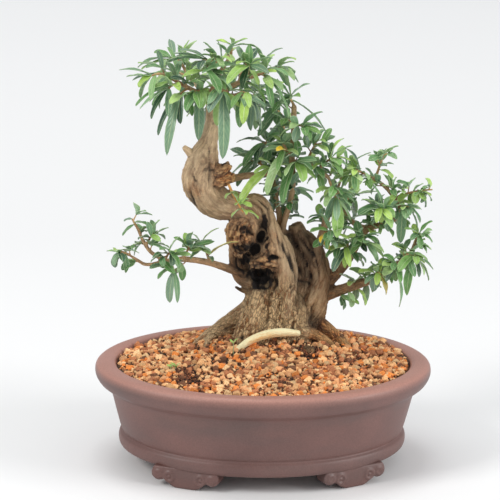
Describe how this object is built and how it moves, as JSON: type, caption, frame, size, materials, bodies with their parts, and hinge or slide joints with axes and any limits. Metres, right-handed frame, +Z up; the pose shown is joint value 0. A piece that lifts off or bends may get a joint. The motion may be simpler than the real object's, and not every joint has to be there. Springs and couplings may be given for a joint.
{
  "type": "pomegranate bonsai in a pot",
  "caption": "Small bonsai with a thick hollowed, twisted trunk and narrow-leaved shoots, planted in grainy soil in a shallow oval footed pot.",
  "frame": {"origin": "under the middle of the oval pot, on the surface that its feet stand on", "axes": "+Z up, +X along the pot's long side towards the side of the long low bough, +Y towards the back of the tree"},
  "size_m": [0.2528, 0.196, 0.32],
  "materials": {
    "pot": "satin",
    "soil": "matte",
    "bark": "matte",
    "leaf": "satin",
    "screen": "matte"
  },
  "bodies": {
    "root": {"drain_screen_left": "screen", "drain_screen_right": "screen", "pot": "pot", "shoot_apex_01": "leaf", "shoot_apex_02": "leaf", "shoot_apex_03": "leaf", "shoot_apex_04": "leaf", "shoot_apex_05": "leaf", "shoot_apex_06": "leaf", "shoot_apex_07": "leaf", "shoot_apex_08": "leaf", "shoot_apex_09": "leaf", "shoot_apex_10": "leaf", "shoot_apex_11": "leaf", "shoot_apex_12": "leaf", "shoot_apex_13": "leaf", "shoot_apex_14": "leaf", "shoot_apex_15": "leaf", "shoot_apex_16": "leaf", "shoot_apex_17": "leaf", "shoot_arm_01": "leaf", "shoot_arm_02": "leaf", "shoot_arm_03": "leaf", "shoot_bar_01": "leaf", "shoot_dark_01": "leaf", "shoot_dark_02": "leaf", "shoot_dark_03": "leaf", "shoot_dark_04": "leaf", "shoot_left_01": "leaf", "shoot_left_02": "leaf", "shoot_left_03": "leaf", "shoot_left_04": "leaf", "shoot_left_05": "leaf", "shoot_left_06": "leaf", "shoot_left_07": "leaf", "shoot_low_01": "leaf", "shoot_low_02": "leaf", "shoot_low_03": "leaf", "shoot_low_04": "leaf", "shoot_low_05": "leaf", "shoot_right_01": "leaf", "shoot_right_02": "leaf", "shoot_right_03": "leaf", "shoot_right_04": "leaf", "shoot_right_05": "leaf", "shoot_right_06": "leaf", "shoot_right_07": "leaf", "shoot_right_08": "leaf", "shoot_right_09": "leaf", "shoot_right_10": "leaf", "shoot_stem_01": "leaf", "shoot_stem_02": "leaf", "shoot_stem_03": "leaf", "shoot_stem_04": "leaf", "shoot_stump_01": "leaf", "shoot_young_01": "leaf", "soil": "soil", "trunk": "bark"}
  },
  "joints": []
}
